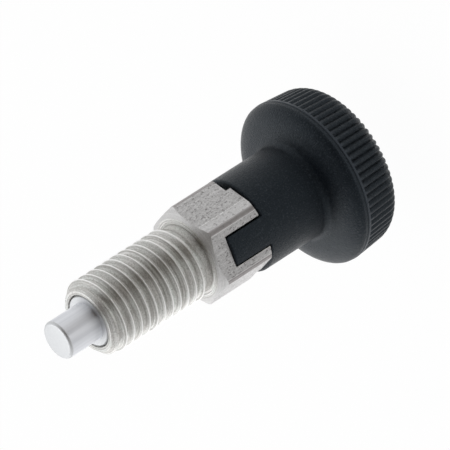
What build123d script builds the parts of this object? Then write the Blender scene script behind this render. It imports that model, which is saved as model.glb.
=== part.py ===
"""Indexing plunger, size 6, with a rest position: pull the knob, give it a quarter turn and let it go.

The stepped locking pin runs in the bore of a threaded body and is pushed out by a compression spring.
Two tabs on the knob lie in a deep slot milled across the body's hexagon. With the knob pulled out and
turned by 90 degrees, the same tabs rest in a shallow notch, and the pin stays drawn in.

Millimetres. The origin is on the axis, on the hexagon's seating face. +Z runs from the knob to the tip
of the pin. The deep slot runs along Y and the rest notch along X.
"""
import math
import os

from build123d import *

# Threaded body: a plain shank at the thread's major diameter, a relief neck and a hexagon
THREAD_R = 6.0
SHANK_LENGTH = 19.15
SHANK_CHAMFER = 1.1
NECK_R = 5.1
NECK_LENGTH = 2.05
HEX_ACROSS_FLATS = 14.0
HEX_LENGTH = 9.58
HEX_CORNER_R = 7.95
HEX_SEAT_R = 6.5
HEX_CHAMFER_ANGLE = 30.0
SLOT_WIDTH = 4.9
SLOT_DEPTH = 6.6
NOTCH_WIDTH = 5.0
NOTCH_DEPTH = 0.85
BORE_EDGE = 0.12

# Locking pin: tip, guide collar, rod and a threaded end for the knob's nut
PIN_TIP_R = 3.0
PIN_REACH = 5.95
PIN_TIP_ROUND = 0.5
COLLAR_R = 4.2
COLLAR_LENGTH = 5.4
COLLAR_EDGE = 0.15
PIN_CHAMFER = 0.3
ROD_R = 2.0
ROD_THREAD_R = 1.5
GUIDE_CLEARANCE = 0.05
BORE_R = COLLAR_R + GUIDE_CLEARANCE

# Compression spring, between the collar and the floor of the bore
WALL_ABOVE_SLOT = 1.95
SPRING_WIRE = 0.8
SPRING_MEAN_R = 3.5
SPRING_TURNS = 5
CLOSED_TURNS = 0.75
RUNS_PER_TURN = 16
WIRE_SIDES = 6
SPRING_END_GAP = 0.03

# Knob: sleeve with two tabs, and a domed head with a knurled rim
SLEEVE_R = 7.5
SLEEVE_HOLLOW_R = 5.2
SLEEVE_GAP = 0.25
SLEEVE_EDGE = 0.3
TAB_WIDTH = 4.4
TAB_GAP = 0.08
TAB_EDGE = 0.25
HEAD_FRONT = 40.2 - SHANK_LENGTH
HEAD_EASE = 0.75
DOME_R = 7.8
DOME_FROM = 80.0
DOME_TO = 8.0
RIM_R = 13.2
RIM_FRONT = 42.85 - SHANK_LENGTH
RIM_TAPER = 5.2
RIM_ROUND = 2.6
KNOB_TOP = 49.95 - SHANK_LENGTH
TEETH = 72
TOOTH_DEPTH = 0.3
TOOTH_ANGLE = 90.0
TOOTH_BAND = 0.45

# Inside the head: web with the rod's hole, washer, nut and a snap-in cover
WEB_FRONT = 19.4
WEB_THICKNESS = 3.6
HEAD_HOLLOW_R = 8.2
WASHER_R = 3.5
WASHER_THICKNESS = 0.5
NUT_ACROSS_FLATS = 5.5
NUT_THICKNESS = 2.4
ROD_END_SPARE = 0.8
COVER_R = 8.95
COVER_THICKNESS = 1.3
COVER_RECESS = 0.3
COVER_LIP_LENGTH = 1.4
COVER_LIP_WALL = 0.7
FIT_GAP = 0.05

# Rounds of the turned outlines are this many short cones
ROUND_STEPS = 3

# Heights that follow from the sizes above
BORE_FLOOR = -(HEX_LENGTH - SLOT_DEPTH) + WALL_ABOVE_SLOT
COLLAR_BACK = SHANK_LENGTH - COLLAR_LENGTH
SLEEVE_FRONT = HEX_LENGTH + SLEEVE_GAP
TAB_FRONT = HEX_LENGTH - SLOT_DEPTH + TAB_GAP
WEB_BACK = WEB_FRONT + WEB_THICKNESS
NUT_FRONT = WEB_BACK + WASHER_THICKNESS
ROD_END = NUT_FRONT + NUT_THICKNESS + ROD_END_SPARE
COVER_SEAT = KNOB_TOP - COVER_RECESS - COVER_THICKNESS


def turned(*outline):
    """A solid of revolution about Z from the (radius, height) points of half its section."""
    return revolve(Plane.XZ * make_face(Polyline(*outline, close=True)), Axis.Z)


def rounded(centre, width, height, start, end):
    """Points along a turned round: an elliptical arc in short chords, from one angle to another in degrees."""
    points = []
    for step in range(ROUND_STEPS + 1):
        angle = math.radians(start + (end - start) * step / ROUND_STEPS)
        points.append((centre[0] + width * math.cos(angle), centre[1] + height * math.sin(angle)))
    return points


def hexagon(across_flats, z_low, z_high):
    """A hexagonal prism with two flats facing +Y and -Y."""
    sketch = Pos(0, 0, z_low) * RegularPolygon(across_flats / 2, 6, major_radius=False)
    return extrude(sketch, z_high - z_low)


def make_guide_body():
    """The shank, neck and hexagon, with the pin's bore, the deep slot and the rest notch."""
    shank = turned(
        (0, -1),
        (NECK_R, -1),
        (NECK_R, NECK_LENGTH),
        (THREAD_R, NECK_LENGTH + THREAD_R - NECK_R),
        (THREAD_R, SHANK_LENGTH - SHANK_CHAMFER),
        (THREAD_R - SHANK_CHAMFER, SHANK_LENGTH),
        (0, SHANK_LENGTH),
    )
    slope = math.tan(math.radians(HEX_CHAMFER_ANGLE))
    envelope = turned(
        (0, 0),
        (HEX_SEAT_R, 0),
        (HEX_CORNER_R, -(HEX_CORNER_R - HEX_SEAT_R) * slope),
        (HEX_CORNER_R, -HEX_LENGTH + (HEX_CORNER_R - SLEEVE_R) * slope),
        (SLEEVE_R, -HEX_LENGTH),
        (0, -HEX_LENGTH),
    )
    body = shank + (hexagon(HEX_ACROSS_FLATS, -HEX_LENGTH, 0) & envelope)
    body -= turned(
        (0, BORE_FLOOR),
        (BORE_R, BORE_FLOOR),
        (BORE_R, SHANK_LENGTH - BORE_EDGE),
        (BORE_R + 2 * BORE_EDGE, SHANK_LENGTH + BORE_EDGE),
        (0, SHANK_LENGTH + BORE_EDGE),
    )
    body -= Pos(0, 0, -HEX_LENGTH / 2) * Cylinder(ROD_R + GUIDE_CLEARANCE, 2 * HEX_LENGTH)
    across = 2 * HEX_ACROSS_FLATS
    body -= Pos(0, 0, -HEX_LENGTH) * Box(SLOT_WIDTH, across, 2 * SLOT_DEPTH)
    body -= Pos(0, 0, -HEX_LENGTH) * Box(across, NOTCH_WIDTH, 2 * NOTCH_DEPTH)
    return body


def make_plunger_pin():
    """The stepped pin: rounded tip, guide collar, rod, and the threaded end as a plain core."""
    tip = SHANK_LENGTH + PIN_REACH
    nose = rounded((PIN_TIP_R - PIN_TIP_ROUND, tip - PIN_TIP_ROUND), PIN_TIP_ROUND, PIN_TIP_ROUND, 0, 90)
    return turned(
        (0, -ROD_END),
        (ROD_THREAD_R - PIN_CHAMFER, -ROD_END),
        (ROD_THREAD_R, -ROD_END + PIN_CHAMFER),
        (ROD_THREAD_R, -WEB_FRONT),
        (ROD_R, -WEB_FRONT),
        (ROD_R, COLLAR_BACK),
        (COLLAR_R - PIN_CHAMFER, COLLAR_BACK),
        (COLLAR_R, COLLAR_BACK + PIN_CHAMFER),
        (COLLAR_R, SHANK_LENGTH - COLLAR_EDGE),
        (COLLAR_R - COLLAR_EDGE, SHANK_LENGTH),
        (PIN_TIP_R, SHANK_LENGTH),
        *nose,
        (0, tip),
    )


def make_compression_spring():
    """Carrying turns between closed end turns; the wire goes round in short straight runs."""
    low = BORE_FLOOR + SPRING_END_GAP + SPRING_WIRE / 2
    high = COLLAR_BACK - SPRING_END_GAP - SPRING_WIRE / 2
    lead = (high - low - 2 * CLOSED_TURNS * SPRING_WIRE) / SPRING_TURNS
    total = SPRING_TURNS + 2 * CLOSED_TURNS
    points = []
    for run in range(round(total * RUNS_PER_TURN) + 1):
        turn = run / RUNS_PER_TURN
        carrying = min(max(turn - CLOSED_TURNS, 0), SPRING_TURNS)
        height = (turn - carrying) * SPRING_WIRE + carrying * lead
        angle = 2 * math.pi * turn
        x, y = SPRING_MEAN_R * math.cos(angle), SPRING_MEAN_R * math.sin(angle)
        points.append((x, y, low + height))
    path = Polyline(*points)
    wire = RegularPolygon(SPRING_WIRE / 2, WIRE_SIDES, major_radius=False)
    section = Plane(path @ 0, x_dir=(1, 0, 0), z_dir=path % 0) * wire
    return sweep(section, path, transition=Transition.RIGHT)


def head_outline():
    """Half the knob's outer section: sleeve, domed underside, tapered rim with its rear round, flat top."""
    dome = rounded((DOME_R, -RIM_FRONT), RIM_R - DOME_R, RIM_FRONT - HEAD_FRONT, DOME_FROM, DOME_TO)
    taper = math.radians(RIM_TAPER)
    round_z = RIM_ROUND - KNOB_TOP
    round_r = RIM_R + (round_z + RIM_FRONT) * math.tan(taper) - RIM_ROUND / math.cos(taper)
    rear = rounded((round_r, round_z), RIM_ROUND, RIM_ROUND, -RIM_TAPER, -90)
    return [
        (0, -SLEEVE_FRONT),
        (SLEEVE_R - SLEEVE_EDGE, -SLEEVE_FRONT),
        (SLEEVE_R, -SLEEVE_FRONT - SLEEVE_EDGE),
        (SLEEVE_R, -HEAD_FRONT + HEAD_EASE),
        (SLEEVE_R + HEAD_EASE, -HEAD_FRONT),
        *dome,
        (RIM_R, -RIM_FRONT),
        *rear,
        (0, -KNOB_TOP),
    ]


def tooth_groove():
    """A straight V groove along the tapered rim, from behind its front band until it runs out in the round."""
    taper = math.radians(RIM_TAPER)
    root = (RIM_R - TOOTH_BAND * math.tan(taper) - TOOTH_DEPTH, 0, -RIM_FRONT - TOOTH_BAND)
    section_plane = Plane(root, x_dir=(0, 1, 0), z_dir=(-math.sin(taper), 0, -math.cos(taper)))
    height = 2 * TOOTH_DEPTH
    half_width = height * math.tan(math.radians(TOOTH_ANGLE / 2))
    vee = Polyline((0, 0), (half_width, height), (-half_width, height), close=True)
    return extrude(section_plane * make_face(vee), KNOB_TOP - RIM_FRONT)


def make_tabs():
    """Two opposite tabs that carry the sleeve's wall forward into the body's deep slot."""
    ring = Circle(SLEEVE_R) - Circle(SLEEVE_HOLLOW_R)
    outline = ring & Rectangle(TAB_WIDTH, 4 * SLEEVE_R)
    tabs = extrude(Pos(0, 0, -SLEEVE_FRONT - SLEEVE_EDGE) * outline, SLEEVE_FRONT + SLEEVE_EDGE - TAB_FRONT)
    return chamfer(tabs.faces().sort_by(Axis.Z)[-2:].edges().filter_by(GeomType.CIRCLE), TAB_EDGE)


def make_knob():
    """The moulded knob, hollow in the sleeve and in the head, with a web between for the rod."""
    knob = turned(*head_outline())
    knob -= turned(
        (0, -SLEEVE_FRONT),
        (SLEEVE_HOLLOW_R, -SLEEVE_FRONT),
        (SLEEVE_HOLLOW_R, -WEB_FRONT),
        (0, -WEB_FRONT),
    )
    knob -= turned(
        (0, -WEB_BACK),
        (HEAD_HOLLOW_R, -WEB_BACK),
        (HEAD_HOLLOW_R, -COVER_SEAT),
        (COVER_R + FIT_GAP, -COVER_SEAT),
        (COVER_R + FIT_GAP, -KNOB_TOP),
        (0, -KNOB_TOP),
    )
    knob -= Pos(0, 0, -WEB_FRONT) * Cylinder(ROD_THREAD_R + FIT_GAP, 4 * WEB_THICKNESS)
    groove = tooth_groove()
    knob -= [Rot(0, 0, (tooth + 0.5) * 360 / TEETH) * groove for tooth in range(TEETH)]
    return knob + make_tabs()


def make_washer():
    """The plain washer between the web and the nut."""
    outline = Circle(WASHER_R) - Circle(ROD_THREAD_R + FIT_GAP)
    return extrude(Pos(0, 0, -NUT_FRONT) * outline, WASHER_THICKNESS)


def make_knob_nut():
    """The hexagon nut that clamps the knob on the rod, with both faces chamfered."""
    nut = hexagon(NUT_ACROSS_FLATS, -NUT_FRONT - NUT_THICKNESS, -NUT_FRONT)
    corner_r = NUT_ACROSS_FLATS / math.sqrt(3)
    edge = corner_r - NUT_ACROSS_FLATS / 2
    envelope = Pos(0, 0, -NUT_FRONT - NUT_THICKNESS / 2) * Cylinder(corner_r, NUT_THICKNESS)
    envelope = chamfer(envelope.edges().filter_by(GeomType.CIRCLE), edge * 0.5, edge)
    hole = Pos(0, 0, -NUT_FRONT) * Cylinder(ROD_THREAD_R, 4 * NUT_THICKNESS)
    return (nut & envelope) - hole


def make_knob_cover():
    """The snap-in cover that closes the head, with a lip that grips the hollow's wall."""
    lip_r = HEAD_HOLLOW_R - FIT_GAP
    return turned(
        (0, -COVER_SEAT),
        (lip_r - COVER_LIP_WALL, -COVER_SEAT),
        (lip_r - COVER_LIP_WALL, -COVER_SEAT + COVER_LIP_LENGTH),
        (lip_r, -COVER_SEAT + COVER_LIP_LENGTH),
        (lip_r, -COVER_SEAT),
        (COVER_R, -COVER_SEAT),
        (COVER_R, -COVER_SEAT - COVER_THICKNESS),
        (0, -COVER_SEAT - COVER_THICKNESS),
    )


PIECES = {
    "guide_body": make_guide_body,
    "plunger_pin": make_plunger_pin,
    "compression_spring": make_compression_spring,
    "knob": make_knob,
    "knob_washer": make_washer,
    "knob_nut": make_knob_nut,
    "knob_cover": make_knob_cover,
}

os.makedirs("parts", exist_ok=True)
for node, make in PIECES.items():
    piece = make()
    print(node, len(piece.solids()), round(piece.volume, 2))
    export_step(piece, f"parts/{node}.step")
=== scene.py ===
"""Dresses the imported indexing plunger: helical thread, milled hexagon, knurled knob, and their finishes.

Metres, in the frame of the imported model: the axis is Z, +Z points to the tip of the pin, and the seating
face of the hexagon is at z = 0. The deep slot runs along Y and the rest notch along X.
"""
import math

import bmesh
import bpy
import numpy as np
from mathutils import Matrix, Vector


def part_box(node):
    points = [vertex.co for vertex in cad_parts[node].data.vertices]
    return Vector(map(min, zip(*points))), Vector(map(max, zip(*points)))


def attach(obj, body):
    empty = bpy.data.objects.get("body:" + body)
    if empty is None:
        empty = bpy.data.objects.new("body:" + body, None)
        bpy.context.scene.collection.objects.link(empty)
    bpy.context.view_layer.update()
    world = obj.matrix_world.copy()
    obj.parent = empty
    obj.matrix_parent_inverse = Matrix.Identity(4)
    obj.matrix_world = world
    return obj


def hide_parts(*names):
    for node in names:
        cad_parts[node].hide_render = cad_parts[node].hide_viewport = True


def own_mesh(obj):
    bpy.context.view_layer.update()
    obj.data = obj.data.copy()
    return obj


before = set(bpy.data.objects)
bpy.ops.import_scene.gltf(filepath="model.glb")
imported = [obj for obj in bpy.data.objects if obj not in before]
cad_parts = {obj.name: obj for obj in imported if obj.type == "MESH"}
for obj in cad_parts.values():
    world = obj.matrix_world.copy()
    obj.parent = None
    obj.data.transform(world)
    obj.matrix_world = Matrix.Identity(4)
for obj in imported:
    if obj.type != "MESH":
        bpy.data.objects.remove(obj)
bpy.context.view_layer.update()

MM = 0.001

# Sizes and places are in millimetres and angles in radians, unless a comment says otherwise

# Thread, with a crest's height at one azimuth in degrees. It runs out into a plain relief at the hexagon
THREAD_R = 6.0
THREAD_ROOT_R = 5.08
THREAD_PITCH = 1.5
THREAD_CREST_HALF = THREAD_PITCH / 28
THREAD_ROOT_HALF = THREAD_PITCH / 10
THREAD_EASE = 0.03
THREAD_CREST_Z = 15.81
THREAD_CREST_AZIMUTH = -67.8
THREAD_FROM = 1.2
THREAD_FOOT_Z = -0.4
RELIEF_R = 5.35
RELIEF_LENGTH = 0.9
SHANK_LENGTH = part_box("guide_body")[1][2] / MM
SHANK_CHAMFER = 1.1

# Hexagon with the slot for the knob's tabs, the rest notch, and a groove in its seat face
HEX_ACROSS_FLATS = 14.0
HEX_LENGTH = -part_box("guide_body")[0][2] / MM
HEX_SEAT_R = 6.5
HEX_CORNER_R = 7.95
HEX_REAR_R = 7.5
HEX_CHAMFER = math.radians(30)
HEX_EDGE = 0.07
SEAT_GROOVE_R = 5.85
SEAT_GROOVE = 0.14
SLOT_WIDTH = 4.9
SLOT_DEPTH = 6.6
NOTCH_WIDTH = 5.0
NOTCH_DEPTH = 0.85

# Bore, which stops short of the slot
BORE_R = 4.25
BORE_EDGE = 0.06
BORE_FLOOR_Z = -(HEX_LENGTH - SLOT_DEPTH) + 1.95
ROD_HOLE_R = 2.05

# Pin and spring
PIN_TIP_R = 3.0
PIN_TIP_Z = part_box("plunger_pin")[1][2] / MM
PIN_TIP_ROUND = 0.5
COLLAR_R = 4.1
COLLAR_BEVEL = (0.2, 0.35)
COLLAR_LENGTH = 5.4
PIN_CHAMFER = 0.3
ROD_R = 2.0
ROD_THREAD_R = 1.5
ROD_END_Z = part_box("plunger_pin")[0][2] / MM
SPRING_WIRE_R = 0.4
SPRING_MEAN_R = 3.5
SPRING_TURNS = 5
SPRING_CLOSED_TURNS = 0.75

# Knob
SLEEVE_R = 7.5
SLEEVE_HOLLOW_R = 5.2
SLEEVE_FRONT_Z = -HEX_LENGTH - 0.25
SLEEVE_EDGE = 0.3
TAB_WIDTH = 4.4
TAB_EDGE = 0.25
TAB_GAP = 0.08
TAB_ROOT = 0.2
HEAD_FRONT_Z = -21.05
HEAD_FILLET = 1.0
DOME_START_R = 7.8
DOME_SEEN_FROM_R = 8.6
DOME_ANGLE = math.radians(80)
RIM_R = 13.2
RIM_FRONT_Z = -23.7
RIM_TAPER = math.radians(5.2)
RIM_ROUND = 2.6
RIM_EDGE = 0.12
KNOB_TOP_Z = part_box("knob")[0][2] / MM
KNOB_TRAVEL = 7.0
TEETH = 72
TOOTH_DEPTH = 0.35
TOOTH_BAND = 0.45
TOOTH_GROOVE_SHARE = 0.75
TOOTH_GROOVE_CURVE = 1.15
WEB_FRONT_Z = -19.4
WEB_BACK_Z = -23.0
HEAD_HOLLOW_R = 8.2
COVER_R = 9.0
COVER_EDGE = 0.1
COVER_SEAT_Z = KNOB_TOP_Z + 1.6
ROD_CLEARANCE_R = 1.55


# Mesh helpers

def new_piece(name, body, slot, *replaced):
    """An empty mesh object that rides on a body and stands for the CAD nodes it replaces."""
    piece = bpy.data.objects.new(name, bpy.data.meshes.new(name))
    bpy.context.scene.collection.objects.link(piece)
    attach(piece, body)
    if replaced:
        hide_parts(*replaced)
    return piece


def fill_mesh(mesh, points, faces):
    """Vertices in millimetres and faces into a mesh, with doubles merged and normals outwards."""
    mesh.clear_geometry()
    mesh.from_pydata(np.asarray(points) * MM, [], faces)
    work = bmesh.new()
    work.from_mesh(mesh)
    bmesh.ops.remove_doubles(work, verts=work.verts, dist=1e-3 * MM)
    bmesh.ops.dissolve_degenerate(work, edges=work.edges, dist=1e-4 * MM)
    bmesh.ops.recalc_face_normals(work, faces=work.faces)
    work.to_mesh(mesh)
    work.free()


def grid_faces(rows, columns, row_loop=False, shift=0):
    """Quads of a grid closed round its columns. At the wrap, rows move up by shift."""
    faces = []
    for row in range(rows if row_loop else rows - 1):
        above = (row + 1) % rows
        for column in range(columns - 1):
            first = row * columns + column
            second = above * columns + column
            faces.append((first, first + 1, second + 1, second))
        if row + shift < rows - 1 or shift == 0:
            first = row * columns + columns - 1
            second = above * columns + columns - 1
            faces.append((first, (row + shift) * columns, (above + shift) * columns, second))
    return faces


def arc(centre, radius, start, end, steps):
    """Points of an arc in the (r, z) section, from one angle to another in radians."""
    angles = np.linspace(start, end, steps + 1)
    return [(centre[0] + radius * math.cos(a), centre[1] + radius * math.sin(a)) for a in angles]


def turned(mesh, section, columns=192):
    """Fills a mesh with the (r, z) section turned about Z. The section starts and ends on the axis."""
    section = np.array(section)
    angle = np.linspace(0, 2 * math.pi, columns, endpoint=False)
    r, z = section[:, :1], section[:, 1:]
    points = np.stack([r * np.cos(angle), r * np.sin(angle), np.repeat(z, columns, axis=1)], axis=-1)
    fill_mesh(mesh, points.reshape(-1, 3), grid_faces(len(section), columns))


def new_scratch():
    """An empty mesh object used to build another one."""
    tool = bpy.data.objects.new("scratch", bpy.data.meshes.new("scratch"))
    bpy.context.scene.collection.objects.link(tool)
    return tool


def scratch_turned(section):
    """A turned scratch object."""
    tool = new_scratch()
    turned(tool.data, section)
    return tool


def scratch_prism(outline, z_low, z_high):
    """A closed prism over an (x, y) outline, as a scratch object."""
    tool = new_scratch()
    count = len(outline)
    points = [(x, y, z) for z in (z_low, z_high) for x, y in outline]
    faces = [(i, (i + 1) % count, count + (i + 1) % count, count + i) for i in range(count)]
    faces += [tuple(range(count)), tuple(range(count, 2 * count))]
    fill_mesh(tool.data, points, faces)
    return tool


def combine(target, operation, tool):
    """Applies a Boolean of a scratch object to the target and deletes the scratch object."""
    modifier = target.modifiers.new("combine", "BOOLEAN")
    modifier.operation = operation
    modifier.solver = "MANIFOLD"
    modifier.object = tool
    apply_modifiers(target)
    bpy.data.objects.remove(tool)


def apply_modifiers(piece):
    """Replaces a piece's mesh by the result of its modifiers."""
    bpy.context.view_layer.update()
    depsgraph = bpy.context.evaluated_depsgraph_get()
    mesh = bpy.data.meshes.new_from_object(piece.evaluated_get(depsgraph), depsgraph=depsgraph)
    piece.modifiers.clear()
    old = piece.data
    piece.data = mesh
    bpy.data.meshes.remove(old)
    mesh.name = piece.name


def shade(piece, angle=math.radians(25)):
    """Smooth shading with sharp edges where two faces meet at more than the angle."""
    mesh = piece.data
    mesh.shade_smooth()
    mesh.set_sharp_from_angle(angle=angle)


# Guide body

def thread_profile():
    """(offset along the axis, radius) over one pitch, from root to root, with eased corners."""
    foot = THREAD_PITCH / 2 - THREAD_ROOT_HALF
    crest = THREAD_CREST_HALF
    rise = THREAD_EASE * (THREAD_R - THREAD_ROOT_R) / (foot - crest)
    front_half = [
        (-THREAD_PITCH / 2, THREAD_ROOT_R),
        (-foot - 2 * THREAD_EASE, THREAD_ROOT_R),
        (-foot - THREAD_EASE / 2, THREAD_ROOT_R + 0.2 * rise),
        (-foot + THREAD_EASE, THREAD_ROOT_R + rise),
        (-(foot + crest) / 2, (THREAD_R + THREAD_ROOT_R) / 2),
        (-crest - THREAD_EASE, THREAD_R - rise),
        (-crest, THREAD_R - 0.35 * rise),
        (-crest / 2, THREAD_R),
    ]
    return front_half + [(-offset, r) for offset, r in reversed(front_half[1:])]


def limit_thread(r, z):
    """Thread radii cut back to the run-out and the end chamfer, and filled up to the plain relief."""
    runout = RELIEF_R + np.maximum(z - THREAD_FROM, 0)
    start = THREAD_R - SHANK_CHAMFER + (SHANK_LENGTH - z)
    relief = RELIEF_R - np.maximum(z - RELIEF_LENGTH, 0)
    return np.maximum(np.minimum(np.minimum(runout, start), r), np.minimum(relief, start))


def threaded_shank(columns=240):
    """The solid shank with its helical thread, from inside the hexagon to the chamfered end."""
    profile = thread_profile()
    per_turn = len(profile)
    turns = math.ceil((SHANK_LENGTH - THREAD_FOOT_Z) / THREAD_PITCH) + 2
    crest_z = THREAD_CREST_Z - THREAD_CREST_AZIMUTH / 360 * THREAD_PITCH
    first_crest = crest_z - THREAD_PITCH * math.ceil((crest_z - THREAD_FOOT_Z) / THREAD_PITCH + 1)
    azimuth = np.linspace(0, 2 * math.pi, columns, endpoint=False)
    climb = azimuth / (2 * math.pi) * THREAD_PITCH
    rows_z, rows_r = [], []
    for turn in range(turns + 1):
        for offset, r in profile:
            z = first_crest + turn * THREAD_PITCH + offset + climb - THREAD_PITCH
            rows_z.append(np.clip(z, THREAD_FOOT_Z, SHANK_LENGTH))
            rows_r.append(limit_thread(r, rows_z[-1]))
    z, r = np.array(rows_z), np.array(rows_r)
    points = np.stack([r * np.cos(azimuth), r * np.sin(azimuth), z], axis=-1).reshape(-1, 3)
    faces = grid_faces(len(z), columns, shift=per_turn)
    shank = new_scratch()
    fill_mesh(shank.data, points, faces)
    work = bmesh.new()
    work.from_mesh(shank.data)
    open_edges = [edge for edge in work.edges if edge.is_boundary]
    bmesh.ops.holes_fill(work, edges=open_edges, sides=0)
    bmesh.ops.recalc_face_normals(work, faces=work.faces)
    work.to_mesh(shank.data)
    work.free()
    return shank


def rectangle(width, length):
    """Corners of a rectangle about the axis, width along X and length along Y."""
    return [(sx * width / 2, sy * length / 2) for sx, sy in ((-1, -1), (1, -1), (1, 1), (-1, 1))]


def straight_edges(work, shortest, sharper_than=math.radians(40)):
    """Edges that are sharp and longer than the given length in millimetres."""
    long_edges = [edge for edge in work.edges if edge.is_manifold and edge.calc_length() > shortest * MM]
    return [edge for edge in long_edges if edge.calc_face_angle() > sharper_than]


def make_hexagon(piece):
    """The chamfered hexagon with its deep slot and rest notch, edges broken."""
    corner_r = HEX_ACROSS_FLATS / math.sqrt(3)
    outline = [(corner_r * math.cos(a), corner_r * math.sin(a)) for a in np.arange(6) * math.pi / 3]
    prism = scratch_prism(outline, -HEX_LENGTH, 0)
    piece.data = prism.data.copy()
    bpy.data.objects.remove(prism)
    slope = math.tan(HEX_CHAMFER)
    combine(piece, "INTERSECT", scratch_turned([
        (0, 0),
        (SEAT_GROOVE_R - SEAT_GROOVE, 0),
        (SEAT_GROOVE_R, -SEAT_GROOVE),
        (SEAT_GROOVE_R + SEAT_GROOVE, 0),
        (HEX_SEAT_R, 0),
        (HEX_CORNER_R, -(HEX_CORNER_R - HEX_SEAT_R) * slope),
        (HEX_CORNER_R, -HEX_LENGTH + (HEX_CORNER_R - HEX_REAR_R) * slope),
        (HEX_REAR_R, -HEX_LENGTH),
        (0, -HEX_LENGTH),
    ]))
    across = 2 * HEX_ACROSS_FLATS
    combine(piece, "DIFFERENCE", scratch_prism(
        rectangle(SLOT_WIDTH, across), -2 * HEX_LENGTH, -HEX_LENGTH + SLOT_DEPTH))
    combine(piece, "DIFFERENCE", scratch_prism(
        rectangle(across, NOTCH_WIDTH), -2 * HEX_LENGTH, -HEX_LENGTH + NOTCH_DEPTH))
    work = bmesh.new()
    work.from_mesh(piece.data)
    bmesh.ops.dissolve_limit(work, angle_limit=math.radians(0.5), verts=work.verts, edges=work.edges)
    bmesh.ops.bevel(
        work, geom=straight_edges(work, 0.6), offset=HEX_EDGE * MM, segments=2, profile=0.5,
        affect="EDGES", clamp_overlap=False)
    work.to_mesh(piece.data)
    work.free()


def make_guide_body():
    """One machined piece: hexagon, threaded shank and the stepped bore."""
    piece = new_piece("guide_body_machined", "body", "body_steel", "guide_body")
    make_hexagon(piece)
    combine(piece, "UNION", threaded_shank())
    combine(piece, "DIFFERENCE", scratch_turned([
        (0, -2 * HEX_LENGTH),
        (ROD_HOLE_R, -2 * HEX_LENGTH),
        (ROD_HOLE_R, BORE_FLOOR_Z),
        (BORE_R, BORE_FLOOR_Z),
        (BORE_R, SHANK_LENGTH - BORE_EDGE),
        (BORE_R + 2 * BORE_EDGE, SHANK_LENGTH + BORE_EDGE),
        (0, SHANK_LENGTH + BORE_EDGE),
    ]))
    shade(piece)
    return piece


def mark_bar_faces(piece, widest=math.radians(31), chamfer_tilt=(0.3, 0.97)):
    """Gives the second material to the hexagon's flats and corners, the third to its turned chamfers.

    A flat's normal stays within the widest angle of the direction from the axis, unlike a slot wall's.
    A chamfer's normal leans to the axis by a share between the two tilts.
    """
    for face in piece.data.polygons:
        if face.center.z > 0 or face.center.xy.length < HEX_SEAT_R * MM:
            continue
        outward = face.normal.xy.dot(face.center.xy.normalized())
        if outward > math.cos(widest):
            face.material_index = 1
        elif chamfer_tilt[0] < abs(face.normal.z) < chamfer_tilt[1]:
            face.material_index = 2


def mark_end_faces(piece, least_tilt=0.2):
    """Gives the second material to the faces across the axis and to the rounds and bevels beside them."""
    for face in piece.data.polygons:
        if abs(face.normal.z) > least_tilt:
            face.material_index = 1


# Pin and spring

def make_pin():
    """The stepped pin with its rounded tip and eased collar."""
    piece = new_piece("plunger_pin_ground", "plunger", "pin_steel", "plunger_pin")
    back = SHANK_LENGTH - COLLAR_LENGTH
    round_centre = (PIN_TIP_R - PIN_TIP_ROUND, PIN_TIP_Z - PIN_TIP_ROUND)
    section = [
        (0, ROD_END_Z),
        (ROD_THREAD_R - PIN_CHAMFER, ROD_END_Z),
        (ROD_THREAD_R, ROD_END_Z + PIN_CHAMFER),
        (ROD_THREAD_R, WEB_FRONT_Z),
        (ROD_R, WEB_FRONT_Z),
        (ROD_R, back),
        (COLLAR_R - PIN_CHAMFER, back),
        (COLLAR_R, back + PIN_CHAMFER),
        (COLLAR_R, SHANK_LENGTH - COLLAR_BEVEL[1]),
        (COLLAR_R - COLLAR_BEVEL[0], SHANK_LENGTH),
        (PIN_TIP_R, SHANK_LENGTH),
    ]
    section += arc(round_centre, PIN_TIP_ROUND, 0, math.pi / 2, 10)
    section += [(0, PIN_TIP_Z)]
    turned(piece.data, section)
    shade(piece)
    return piece


def make_spring(columns=20, per_turn=48):
    """Round wire with closed ends, from the floor of the bore to the back of the collar."""
    piece = new_piece("compression_spring_wound", "body", "spring_steel", "compression_spring")
    low, high = (corner[2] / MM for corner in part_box("compression_spring"))
    total = SPRING_TURNS + 2 * SPRING_CLOSED_TURNS
    turn = np.linspace(0, total, round(total * per_turn) + 1)
    wire = 2 * SPRING_WIRE_R
    ends = SPRING_CLOSED_TURNS
    first, last = low + SPRING_WIRE_R, high - SPRING_WIRE_R
    knots_z = [first, first + ends * wire, last - ends * wire, last]
    z = np.interp(turn, [0, ends, total - ends, total], knots_z)
    azimuth = 2 * math.pi * turn
    around = np.linspace(0, 2 * math.pi, columns, endpoint=False)
    r = SPRING_MEAN_R + SPRING_WIRE_R * np.cos(around)
    points = np.stack([
        r * np.cos(azimuth)[:, None],
        r * np.sin(azimuth)[:, None],
        z[:, None] + SPRING_WIRE_R * np.sin(around),
    ], axis=-1).reshape(-1, 3)
    faces = grid_faces(len(turn), columns)
    last_row = (len(turn) - 1) * columns
    faces += [tuple(range(columns)), tuple(range(last_row, last_row + columns))]
    fill_mesh(piece.data, points, faces)
    shade(piece)
    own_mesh(piece)
    return piece


# Knob

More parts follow.
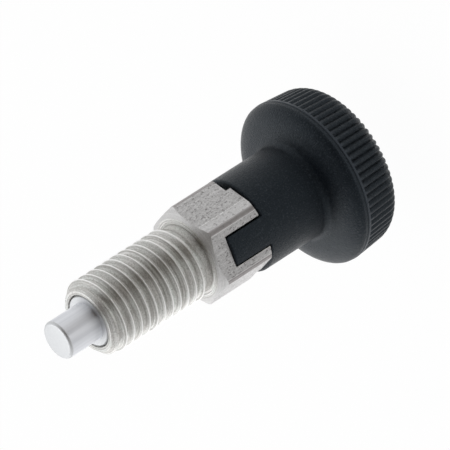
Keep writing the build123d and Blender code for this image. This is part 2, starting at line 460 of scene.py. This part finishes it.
def rim_points(round_steps=16):
    """The rim's outline from its front edge to the flat top, and how much of a tooth each point has."""
    centre_z = KNOB_TOP_Z + RIM_ROUND
    centre_r = RIM_R - (RIM_FRONT_Z - centre_z) * math.tan(RIM_TAPER) - RIM_ROUND / math.cos(RIM_TAPER)
    side_start = (RIM_R - TOOTH_BAND * math.tan(RIM_TAPER), RIM_FRONT_Z - TOOTH_BAND)
    side_end = (centre_r + RIM_ROUND * math.cos(RIM_TAPER), centre_z - RIM_ROUND * math.sin(RIM_TAPER))
    front = [
        (RIM_R - RIM_EDGE, RIM_FRONT_Z + RIM_EDGE / 6),
        (RIM_R - RIM_EDGE / 6, RIM_FRONT_Z - RIM_EDGE),
        side_start,
    ]
    side = [tuple(p) for p in np.linspace(side_start, side_end, 6)]
    back = arc((centre_r, centre_z), RIM_ROUND, -RIM_TAPER, -math.pi / 2, round_steps)[1:]
    fading = [min(1, 2 - 2 * step / round_steps) for step in range(1, round_steps + 1)]
    return front + side + back, [0] * len(front) + [1] * len(side) + fading


def tooth_shape(angle):
    """Depth share across one tooth: 0 on the rounded crest, 1 at the bottom of the groove."""
    phase = np.mod(angle / (2 * math.pi) * TEETH, 1.0)
    from_groove = np.abs(phase - 0.5) * 2
    return np.clip(1 - from_groove / TOOTH_GROOVE_SHARE, 0, 1) ** TOOTH_GROOVE_CURVE


def dome_points(steps=15):
    """The head's domed underside, an elliptic arc, from where it leaves the fillet to the rim."""
    angle = np.linspace(math.pi / 2, math.pi / 2 - DOME_ANGLE, steps)
    r = DOME_START_R + (RIM_R - DOME_START_R) * np.cos(angle)
    z = RIM_FRONT_Z + (HEAD_FRONT_Z - RIM_FRONT_Z) * np.sin(angle)
    return [point for point in zip(r, z) if point[0] > DOME_SEEN_FROM_R]


def knob_section():
    """The knob's closed section, and how much of a tooth each of its points has."""
    rim, amount = rim_points()
    dome = dome_points()
    sleeve_edge_centre = (SLEEVE_R - SLEEVE_EDGE, SLEEVE_FRONT_Z - SLEEVE_EDGE)
    fillet_centre = (SLEEVE_R + HEAD_FILLET, HEAD_FRONT_Z + HEAD_FILLET)
    front = [
        (ROD_CLEARANCE_R, WEB_BACK_Z),
        (ROD_CLEARANCE_R, WEB_FRONT_Z),
        (SLEEVE_HOLLOW_R, WEB_FRONT_Z),
        (SLEEVE_HOLLOW_R, SLEEVE_FRONT_Z),
    ]
    front += arc(sleeve_edge_centre, SLEEVE_EDGE, math.pi / 2, 0, 4)
    front += arc(fillet_centre, HEAD_FILLET, math.pi, 1.5 * math.pi, 8)
    back = [
        (COVER_R + COVER_EDGE, KNOB_TOP_Z),
        (COVER_R, KNOB_TOP_Z + COVER_EDGE),
        (COVER_R, COVER_SEAT_Z),
        (HEAD_HOLLOW_R, COVER_SEAT_Z),
        (HEAD_HOLLOW_R, WEB_BACK_Z),
    ]
    share = [0] * (len(front) + len(dome)) + amount + [0] * len(back)
    return np.array(front + dome + rim + back), np.array(share, dtype=float)


def make_knob(per_tooth=12):
    """The moulded knob: tabbed sleeve, domed head and a rim whose teeth follow its rear round."""
    piece = new_piece("knob_moulded", "plunger", "knob_plastic", "knob")
    section, share = knob_section()
    columns = TEETH * per_tooth
    angle = np.linspace(0, 2 * math.pi, columns, endpoint=False)
    along = np.roll(section, -1, axis=0) - np.roll(section, 1, axis=0)
    along /= np.linalg.norm(along, axis=1, keepdims=True)
    inward = np.stack([along[:, 1], -along[:, 0]], axis=1)
    depth = TOOTH_DEPTH * share[:, None] * tooth_shape(angle)
    r = section[:, :1] + inward[:, :1] * depth
    z = section[:, 1:] + inward[:, 1:] * depth
    points = np.stack([r * np.cos(angle), r * np.sin(angle), z], axis=-1).reshape(-1, 3)
    fill_mesh(piece.data, points, grid_faces(len(section), columns, row_loop=True))
    for side in (-1, 1):
        combine(piece, "UNION", tab(side))
    shade(piece, math.radians(30))
    return piece


def tab(side):
    """A block of the sleeve's wall that reaches forward into the deep slot, its outer tip edge rounded."""
    front_z = -HEX_LENGTH + SLOT_DEPTH - TAB_GAP
    half = TAB_WIDTH / 2
    outer = [(x, side * math.sqrt(SLEEVE_R ** 2 - x ** 2)) for x in np.linspace(-half, half, 25)]
    inner = [(x, side * math.sqrt(SLEEVE_HOLLOW_R ** 2 - x ** 2)) for x in np.linspace(half, -half, 13)]
    block = scratch_prism(outer + inner, SLEEVE_FRONT_Z - SLEEVE_EDGE - TAB_ROOT, front_z)
    work = bmesh.new()
    work.from_mesh(block.data)
    tip_z, wall_r = (front_z - 0.05) * MM, (SLEEVE_R - 0.05) * MM
    outer_tip = {vertex for vertex in work.verts if vertex.co.z > tip_z and vertex.co.xy.length > wall_r}
    outer_edges = [edge for edge in work.edges if outer_tip.issuperset(edge.verts)]
    bmesh.ops.bevel(
        work, geom=outer_edges, offset=TAB_EDGE * MM, segments=3, profile=0.5, affect="EDGES",
        clamp_overlap=False)
    work.to_mesh(block.data)
    work.free()
    return block


# Materials

# Worn crests of the thread: how far below and above the crest's radius the bright metal fades in and out
CREST_WEAR_FROM = (0.12, 0.04)
CREST_WEAR_TO = (0.02, 0.05)

# A painted highlight on one flat: a lighter band up to a bright line, which lies aside from the flat's
# middle
HIGHLIGHTED_FLAT = math.radians(-30)
FLAT_HIGHLIGHT_LINE = 1.9
FLAT_HIGHLIGHT_LINE_HALF = 0.12

# Painted shade darkens the hexagon's corners from this radius on, behind a thin painted highlight line
SHADED_CORNER_R = 7.85
CORNER_HIGHLIGHT_HALF = 0.04


class Nodes:
    """Short calls for building a procedural material."""

    def __init__(self, name):
        """A new material with its shader and its object coordinates."""
        self.material = bpy.data.materials.new(name)
        self.material.use_nodes = True
        self.tree = self.material.node_tree
        self.shader = self.tree.nodes["Principled BSDF"]
        self.place = self.add("ShaderNodeTexCoord").outputs["Object"]

    def add(self, kind, **settings):
        """A new node of a kind, with its settings."""
        node = self.tree.nodes.new(kind)
        for key, value in settings.items():
            setattr(node, key, value)
        return node

    def link(self, source, target):
        """Feeds a socket from another node's output."""
        self.tree.links.new(source, target)

    def stretched(self, scale):
        """Object coordinates scaled along each axis."""
        mapping = self.add("ShaderNodeMapping")
        mapping.inputs["Scale"].default_value = scale
        self.link(self.place, mapping.inputs["Vector"])
        return mapping.outputs["Vector"]

    def noise(self, scale, detail=3, roughness=0.5, vector=None):
        """Noise in features per millimetre."""
        node = self.add("ShaderNodeTexNoise")
        node.inputs["Scale"].default_value = scale / MM
        node.inputs["Detail"].default_value = detail
        node.inputs["Roughness"].default_value = roughness
        self.link(vector if vector is not None else self.place, node.inputs["Vector"])
        return node.outputs["Fac"]

    def spread(self, source, low, high, to_low=0.0, to_high=1.0):
        """Maps one range of values onto another, clamped."""
        node = self.add("ShaderNodeMapRange")
        for socket, value in zip(("From Min", "From Max", "To Min", "To Max"), (low, high, to_low, to_high)):
            node.inputs[socket].default_value = value
        self.link(source, node.inputs["Value"])
        return node.outputs["Result"]

    def math(self, operation, a, b=0):
        """A calculation with two values, each a number or a socket."""
        node = self.add("ShaderNodeMath", operation=operation)
        for socket, value in zip(node.inputs, (a, b)):
            if isinstance(value, (int, float)):
                socket.default_value = value
            else:
                self.link(value, socket)
        return node.outputs["Value"]

    def blend(self, a, b, share=0.5):
        """The sum of two values, the first weighted by its share and the second by the rest."""
        return self.math("ADD", self.math("MULTIPLY", a, share), self.math("MULTIPLY", b, 1 - share))

    def mix(self, factor, a, b):
        """A mix of two colours, each an (r, g, b) or a socket."""
        node = self.add("ShaderNodeMix", data_type="RGBA")
        self.link(factor, node.inputs["Factor"])
        for socket, value in zip((node.inputs["A"], node.inputs["B"]), (a, b)):
            if isinstance(value, tuple):
                socket.default_value = (*value, 1)
            else:
                self.link(value, socket)
        return node.outputs["Result"]

    def bump(self, height, strength, distance):
        """Bump with the height's full range worth the distance in millimetres."""
        node = self.add("ShaderNodeBump")
        node.inputs["Strength"].default_value = strength
        node.inputs["Distance"].default_value = distance * MM
        self.link(height, node.inputs["Height"])
        self.link(node.outputs["Normal"], self.shader.inputs["Normal"])

    def radius(self):
        """Distance from the axis, in metres."""
        across = self.add("ShaderNodeVectorMath", operation="LENGTH")
        self.link(self.stretched((1, 1, 0)), across.inputs[0])
        return across.outputs["Value"]

    def along(self, angle):
        """Distance from the axis towards one angle round it, in metres."""
        node = self.add("ShaderNodeVectorMath", operation="DOT_PRODUCT")
        node.inputs[1].default_value = (math.cos(angle), math.sin(angle), 0)
        self.link(self.place, node.inputs[0])
        return node.outputs["Value"]

    def line(self, distance, place, half_width):
        """A soft line where a distance, in metres, is the place, in millimetres as the half width is."""
        off = self.math("ABSOLUTE", self.math("SUBTRACT", distance, place * MM))
        return self.spread(off, 0, half_width * MM, 1, 0)

    def rings(self, scale, detail=3, across=0.03, along=0.12):
        """Noise in rings round the axis, in features per millimetre of radius.

        It changes a little across the object and along its axis too, by these shares of the scale.
        """
        split = self.add("ShaderNodeSeparateXYZ")
        self.link(self.place, split.inputs["Vector"])
        ring_place = self.add("ShaderNodeCombineXYZ")
        self.link(self.radius(), ring_place.inputs["X"])
        self.link(self.math("MULTIPLY", split.outputs["X"], across), ring_place.inputs["Y"])
        self.link(self.math("MULTIPLY", split.outputs["Z"], along), ring_place.inputs["Z"])
        return self.noise(scale, detail, 0.6, ring_place.outputs["Vector"])

    def turned_lay(self, amount):
        """Reflections drawn out along the axis, as fine rings from turning do."""
        tangent = self.add("ShaderNodeTangent", direction_type="RADIAL", axis="Z")
        self.link(tangent.outputs["Tangent"], self.shader.inputs["Tangent"])
        self.shader.inputs["Anisotropic"].default_value = amount
        self.shader.inputs["Anisotropic Rotation"].default_value = 0.25

    def set(self, socket, value):
        """Gives a socket of the shader a number, a colour or another node's output."""
        if isinstance(value, bpy.types.NodeSocket):
            self.link(value, self.shader.inputs[socket])
        elif isinstance(value, tuple):
            self.shader.inputs[socket].default_value = (*value, 1)
        else:
            self.shader.inputs[socket].default_value = value


def body_steel():
    """Turned stainless steel: fine rings round the axis, uneven tone, bright worn crests, a few specks."""
    n = Nodes("body_steel_turned")
    dark, warm, cool = (0.44, 0.425, 0.40), (0.85, 0.835, 0.81), (0.83, 0.84, 0.81)
    speck, worn = (0.30, 0.285, 0.26), (0.94, 0.93, 0.91)
    tone = n.blend(n.rings(3.6, detail=2), n.noise(7, detail=4, roughness=0.65))
    light = n.mix(n.spread(n.noise(0.5, detail=2), 0.4, 0.6), warm, cool)
    colour = n.mix(n.spread(tone, 0.41, 0.59), dark, light)
    specks = n.spread(n.noise(4.5, detail=4, roughness=0.7), 0.35, 0.41)
    radius = n.radius()
    wear_from = [(THREAD_R - below) * MM for below in CREST_WEAR_FROM]
    wear_to = [(THREAD_R + above) * MM for above in CREST_WEAR_TO]
    crest = n.math("MULTIPLY", n.spread(radius, *wear_from), n.spread(radius, *wear_to, 1, 0))
    n.set("Base Color", n.mix(crest, n.mix(specks, speck, colour), worn))
    n.set("Metallic", 1.0)
    n.set("Roughness", n.spread(tone, 0.3, 0.7, 0.52, 0.42))
    n.turned_lay(0.9)
    n.bump(tone, 0.6, 0.05)
    return n.material


def bar_steel():
    """Drawn bar on the flats and corners, pitted along the axis, with a painted highlight band and line on
    one flat, and painted shade on the corners behind a painted highlight line.
    """
    n = Nodes("body_steel_drawn")
    dark, light, pit = (0.41, 0.40, 0.395), (0.71, 0.70, 0.695), (0.24, 0.23, 0.225)
    # The second line's colours are the painted highlight band on one flat, the painted shade on the corners,
    # and the painted highlight lines
    flat_highlight_colour, dull, bright = (0.78, 0.77, 0.765), (0.36, 0.335, 0.33), (0.93, 0.92, 0.91)
    grain = n.noise(6, detail=4, roughness=0.7, vector=n.stretched((1, 1, 0.55)))
    streak = n.noise(2.6, detail=3, vector=n.stretched((1, 1, 0.1)))
    tone = n.blend(grain, streak, 0.7)
    pits = n.spread(n.noise(3.4, detail=3, roughness=0.65, vector=n.stretched((1, 1, 0.7))), 0.56, 0.65)
    pitted = n.mix(pits, n.mix(n.spread(tone, 0.36, 0.64), dark, light), pit)

    # Painted highlight: one flat gets a lighter band up to a bright line along a milling streak, standing
    # for the light caught there
    flat_r = HEX_ACROSS_FLATS / 2
    on_flat = n.spread(n.along(HIGHLIGHTED_FLAT), (flat_r - 0.1) * MM, (flat_r - 0.05) * MM)
    aside = n.along(HIGHLIGHTED_FLAT - math.pi / 2)
    band = n.spread(aside, FLAT_HIGHLIGHT_LINE * MM, (FLAT_HIGHLIGHT_LINE + 0.02) * MM, 0, 0.3)
    plain = n.mix(n.math("MULTIPLY", on_flat, band), pitted, flat_highlight_colour)
    patchy = n.math("MULTIPLY", on_flat, n.spread(grain, 0.42, 0.58, 0.1, 0.9))
    flat_highlight = n.math("MULTIPLY", n.line(aside, FLAT_HIGHLIGHT_LINE, FLAT_HIGHLIGHT_LINE_HALF), patchy)

    # Painted shade: the corners are darkened from a radius on, with a thin painted highlight line along that
    # radius, left off the flat with the painted highlight band
    radius = n.radius()
    corner = n.spread(radius, (SHADED_CORNER_R - 0.01) * MM, (SHADED_CORNER_R + 0.02) * MM, 0, 0.75)
    corner_highlight = n.line(radius, SHADED_CORNER_R, CORNER_HIGHLIGHT_HALF)
    corner_highlight = n.math("MULTIPLY", corner_highlight, n.spread(on_flat, 0, 1, 0.7, 0))

    painted_highlight_lines = n.math("MAXIMUM", flat_highlight, corner_highlight)
    n.set("Base Color", n.mix(painted_highlight_lines, n.mix(corner, plain, dull), bright))
    n.set("Metallic", 1.0)
    n.set("Roughness", n.spread(tone, 0.3, 0.7, 0.55, 0.45))
    n.turned_lay(0.9)
    n.bump(n.math("SUBTRACT", tone, n.math("MULTIPLY", pits, 0.5)), 0.5, 0.04)
    return n.material


def chamfer_steel():
    """The chamfers turned on both ends of the hexagon, duller than the rest."""
    n = Nodes("body_steel_dull")
    dark, light = (0.50, 0.49, 0.48), (0.70, 0.69, 0.68)
    tone = n.blend(n.rings(5, detail=3), n.noise(6, detail=3))
    n.set("Base Color", n.mix(n.spread(tone, 0.35, 0.65), dark, light))
    n.set("Metallic", 1.0)
    n.set("Roughness", n.spread(tone, 0.3, 0.7, 0.62, 0.5))
    n.turned_lay(0.6)
    n.bump(tone, 0.4, 0.03)
    return n.material


def pin_steel():
    """Ground and polished steel with faint lengthwise bands."""
    n = Nodes("pin_steel_polished")
    dark, light = (0.67, 0.68, 0.71), (0.82, 0.83, 0.86)
    band = n.noise(0.9, detail=2, vector=n.stretched((1, 1, 0.05)))
    grain = n.noise(12, detail=3)
    n.set("Base Color", n.mix(n.spread(band, 0.35, 0.65), dark, light))
    n.set("Metallic", 1.0)
    n.set("Roughness", n.spread(grain, 0.3, 0.7, 0.37, 0.40))
    n.turned_lay(0.92)
    n.bump(grain, 0.05, 0.002)
    return n.material


def plain_steel(name, dark, light, grain, roughness, relief):
    """Steel with an even grain.

    The grain is its scale and detail, the roughness goes from dark to light grains, and the relief is
    the bump's strength and its distance in millimetres.
    """
    n = Nodes(name)
    grains = n.noise(*grain)
    n.set("Base Color", n.mix(grains, dark, light))
    n.set("Metallic", 1.0)
    n.set("Roughness", n.spread(grains, 0.3, 0.7, *roughness))
    n.bump(grains, *relief)
    return n.material


def pin_end_steel():
    """The pin's ground faces across the axis."""
    dark, light = (0.61, 0.615, 0.62), (0.67, 0.675, 0.68)
    return plain_steel("pin_steel_ground", dark, light, (5, 3), (0.54, 0.48), (0.1, 0.004))


def wire_steel():
    """Drawn spring wire."""
    dark, light = (0.40, 0.40, 0.41), (0.60, 0.60, 0.61)
    return plain_steel("spring_steel_drawn", dark, light, (6, 3), (0.28, 0.4), (0.2, 0.01))


def fastener_steel():
    """Plain zinc-plated washer and nut."""
    dark, light = (0.52, 0.53, 0.55), (0.70, 0.71, 0.73)
    return plain_steel("fastener_steel_plain", dark, light, (4, 4), (0.25, 0.42), (0.2, 0.01))


def moulded_plastic(name, dark, light):
    """Black plastic with the fine pebbled texture of an eroded mould, paler on grains, with a painted
    highlight on the rim's edge.
    """
    n = Nodes(name)
    grain_colour, rim_highlight_colour = (0.024, 0.028, 0.034), (0.032, 0.037, 0.046)
    pebble = n.blend(n.noise(3.6, detail=3, roughness=0.7), n.noise(8, detail=2), 0.65)
    plain = n.mix(n.spread(pebble, 0.35, 0.65), dark, light)
    grains = n.spread(n.noise(4.2, detail=2), 0.54, 0.68)
    # Painted highlight: the rim's outermost edge, where the teeth's crests run, is painted paler to stand
    # for the light it catches
    rim_edge_highlight = n.spread(n.radius(), (RIM_R - 0.12) * MM, (RIM_R - 0.04) * MM)
    n.set("Base Color", n.mix(rim_edge_highlight, n.mix(grains, plain, grain_colour), rim_highlight_colour))
    n.set("Roughness", n.spread(pebble, 0.35, 0.65, 0.38, 0.26))
    n.set("Specular IOR Level", 0.27)
    n.set("Specular Tint", (0.72, 0.88, 1.0))
    n.bump(pebble, 1.0, 0.16)
    return n.material


def knob_plastic():
    """The knob's black plastic."""
    return moulded_plastic("knob_plastic_black", (0.0008, 0.0018, 0.0036), (0.0055, 0.0082, 0.0125))


def cover_plastic():
    """The cover's black plastic, a little more even than the knob's."""
    return moulded_plastic("cover_plastic_black", (0.002, 0.003, 0.0048), (0.0065, 0.008, 0.011))


def dress(piece, *materials):
    """Gives a piece or a CAD node its materials."""
    piece.data.materials.clear()
    for material in materials:
        piece.data.materials.append(material)


# Floor, light and camera

# The camera: its direction and roll, its distance in metres, and its lens
CAMERA_AZIMUTH = math.radians(-67.8)
CAMERA_ELEVATION = math.radians(90 - 59.902)
CAMERA_ROLL = math.radians(32.57)
CAMERA_DISTANCE = 0.9084
CAMERA_LENS = 505.7
CAMERA_SENSOR = 36
CAMERA_CLIP_START = 0.01

# A point on the axis, and its place in the picture in pixels along and across the drawn axis
AXIS_POINT_Z = SHANK_LENGTH - 20
AXIS_POINT_U = -45.043
AXIS_POINT_V = -7.5495
PIXELS_PER_METRE = 6958.5

# The surround, in degrees: places are azimuth from the camera's and elevation, edges are angles from them
SURROUND_COLOUR = (0.965, 0.98, 1.0)
DIM_SIDE_PLACE = (-5, 25)
DIM_SIDE_EDGES = (25, 100)
DIM_SIDE_COLOUR = (0.42, 0.42, 0.42)
OPENING_AZIMUTH = 18
OPENING_ELEVATIONS = (14, 32, 50, 68)
OPENING_EDGES = (8, 28)
OPENING_COLOUR = (0.04, 0.022, 0.008)

# The floor, with its half width in metres
FLOOR_HALF_WIDTH = 6.0
FLOOR_COLOUR = (0.9, 0.9, 0.9)
FLOOR_ROUGHNESS = 0.9
FLOOR_GLOW_SHARE = 0.97

# The lamps, both behind the object: azimuth from the camera's and elevation in degrees, distance and size
# in metres, and power in watts
LAMPS = {
    "lamp_below": ((-150, 14), 0.45, 0.3, 0.2),
    "lamp_top": ((170, 62), 0.5, 0.35, 0.5),
}


def make_floor():
    """A pale floor that the pulled knob just reaches."""
    floor = bpy.data.objects.new("floor", bpy.data.meshes.new("floor"))
    bpy.context.scene.collection.objects.link(floor)
    floor_z = (KNOB_TOP_Z - KNOB_TRAVEL) * MM
    corners = rectangle(2 * FLOOR_HALF_WIDTH, 2 * FLOOR_HALF_WIDTH)
    floor.data.from_pydata([(x, y, floor_z) for x, y in corners], [], [(0, 1, 2, 3)])
    floor.data.materials.append(floor_white())


def floor_white():
    """A pale finish that glows where the camera or a reflection sees it, and still takes a faint shadow."""
    n = Nodes("floor_white")
    n.set("Base Color", FLOOR_COLOUR)
    n.set("Roughness", FLOOR_ROUGHNESS)
    glow = n.add("ShaderNodeEmission")
    glow.inputs["Strength"].default_value = 1.0
    path = n.add("ShaderNodeLightPath")
    seen = n.math("MAXIMUM", path.outputs["Is Camera Ray"], path.outputs["Is Glossy Ray"])
    seen = n.math("MAXIMUM", seen, path.outputs["Is Transmission Ray"])
    blend = n.add("ShaderNodeMixShader")
    n.link(n.math("MULTIPLY", seen, FLOOR_GLOW_SHARE), blend.inputs["Fac"])
    n.link(n.shader.outputs["BSDF"], blend.inputs[1])
    n.link(glow.outputs["Emission"], blend.inputs[2])
    n.link(blend.outputs["Shader"], n.tree.nodes["Material Output"].inputs["Surface"])
    return n.material


def from_camera(azimuth, elevation):
    """A direction given by its azimuth from the camera's and its elevation, both in degrees."""
    turn = CAMERA_AZIMUTH + math.radians(azimuth)
    rise = math.radians(elevation)
    return Vector((math.cos(turn) * math.cos(rise), math.sin(turn) * math.cos(rise), math.sin(rise)))


def make_world():
    """A white surround, dimmer on the camera's side, with a tall dark opening there as in a light tent."""
    world = bpy.data.worlds.new("surround")
    bpy.context.scene.world = world
    world.use_nodes = True
    tree = world.node_tree
    place = tree.nodes.new("ShaderNodeTexCoord").outputs["Generated"]

    def patch(under, patch_colour, middle, edges):
        """Fades one colour into another round a direction."""
        facing = tree.nodes.new("ShaderNodeVectorMath")
        facing.operation = "DOT_PRODUCT"
        facing.inputs[1].default_value = from_camera(*middle)
        tree.links.new(place, facing.inputs[0])
        fade = tree.nodes.new("ShaderNodeMapRange")
        fade.interpolation_type = "SMOOTHSTEP"
        fade.inputs["From Min"].default_value = math.cos(math.radians(edges[1]))
        fade.inputs["From Max"].default_value = math.cos(math.radians(edges[0]))
        tree.links.new(facing.outputs["Value"], fade.inputs["Value"])
        mixed = tree.nodes.new("ShaderNodeMix")
        mixed.data_type = "RGBA"
        tree.links.new(fade.outputs["Result"], mixed.inputs["Factor"])
        tree.links.new(under, mixed.inputs["A"])
        mixed.inputs["B"].default_value = (*patch_colour, 1)
        return mixed.outputs["Result"]

    surround = tree.nodes.new("ShaderNodeRGB").outputs["Color"]
    surround.default_value = (*SURROUND_COLOUR, 1)
    colour = patch(surround, DIM_SIDE_COLOUR, DIM_SIDE_PLACE, DIM_SIDE_EDGES)
    for elevation in OPENING_ELEVATIONS:
        colour = patch(colour, OPENING_COLOUR, (OPENING_AZIMUTH, elevation), OPENING_EDGES)
    tree.links.new(colour, tree.nodes["Background"].inputs["Color"])
    tree.nodes["Background"].inputs["Strength"].default_value = 1.0


def camera_axes():
    """Unit vectors: towards the camera, and in the picture down the object's axis and across it."""
    flat = Vector((math.cos(CAMERA_AZIMUTH), math.sin(CAMERA_AZIMUTH), 0))
    towards = flat * math.cos(CAMERA_ELEVATION) + Vector((0, 0, math.sin(CAMERA_ELEVATION)))
    axis = Vector((0, 0, -1))
    tilt = math.pi / 2 - CAMERA_ELEVATION
    along = (axis + towards * math.cos(tilt)) / math.sin(tilt)
    across = Vector((0, 0, 1)).cross(flat)
    return towards, along, across


def make_camera():
    """The camera, aimed so that the point on the axis falls on its place in the picture."""
    towards, along, across = camera_axes()
    right = math.cos(CAMERA_ROLL) * along - math.sin(CAMERA_ROLL) * across
    up = math.sin(CAMERA_ROLL) * along + math.cos(CAMERA_ROLL) * across
    aim = Vector((0, 0, AXIS_POINT_Z * MM))
    aim -= along * (AXIS_POINT_U / PIXELS_PER_METRE) + across * (AXIS_POINT_V / PIXELS_PER_METRE)
    data = bpy.data.cameras.new("camera")
    data.lens = CAMERA_LENS
    data.sensor_width = CAMERA_SENSOR
    data.clip_start = CAMERA_CLIP_START
    camera = bpy.data.objects.new("camera", data)
    bpy.context.scene.collection.objects.link(camera)
    turn = Matrix((right, up, towards)).transposed().to_4x4()
    camera.matrix_world = Matrix.Translation(aim + towards * CAMERA_DISTANCE) @ turn
    bpy.context.scene.camera = camera


def add_lamp(name, direction, distance, size, power):
    """A square soft lamp that faces the object from a direction."""
    data = bpy.data.lights.new(name, "AREA")
    data.size = size
    data.energy = power
    lamp = bpy.data.objects.new(name, data)
    bpy.context.scene.collection.objects.link(lamp)
    lamp.location = direction * distance
    lamp.rotation_euler = direction.to_track_quat("Z", "Y").to_euler()


guide_body = make_guide_body()
dress(guide_body, body_steel(), bar_steel(), chamfer_steel())
mark_bar_faces(guide_body)
plunger_pin = make_pin()
dress(plunger_pin, pin_steel(), pin_end_steel())
mark_end_faces(plunger_pin)
dress(make_spring(), wire_steel())
dress(make_knob(), knob_plastic())
dress(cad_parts["knob_cover"], cover_plastic())
fastener = fastener_steel()
for fastener_name in ("knob_washer", "knob_nut"):
    dress(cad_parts[fastener_name], fastener)

make_floor()
make_world()
make_camera()
for lamp_name, (lamp_place, lamp_distance, lamp_size, lamp_power) in LAMPS.items():
    add_lamp(lamp_name, from_camera(*lamp_place), lamp_distance, lamp_size, lamp_power)
bpy.context.scene.view_settings.view_transform = "Standard"
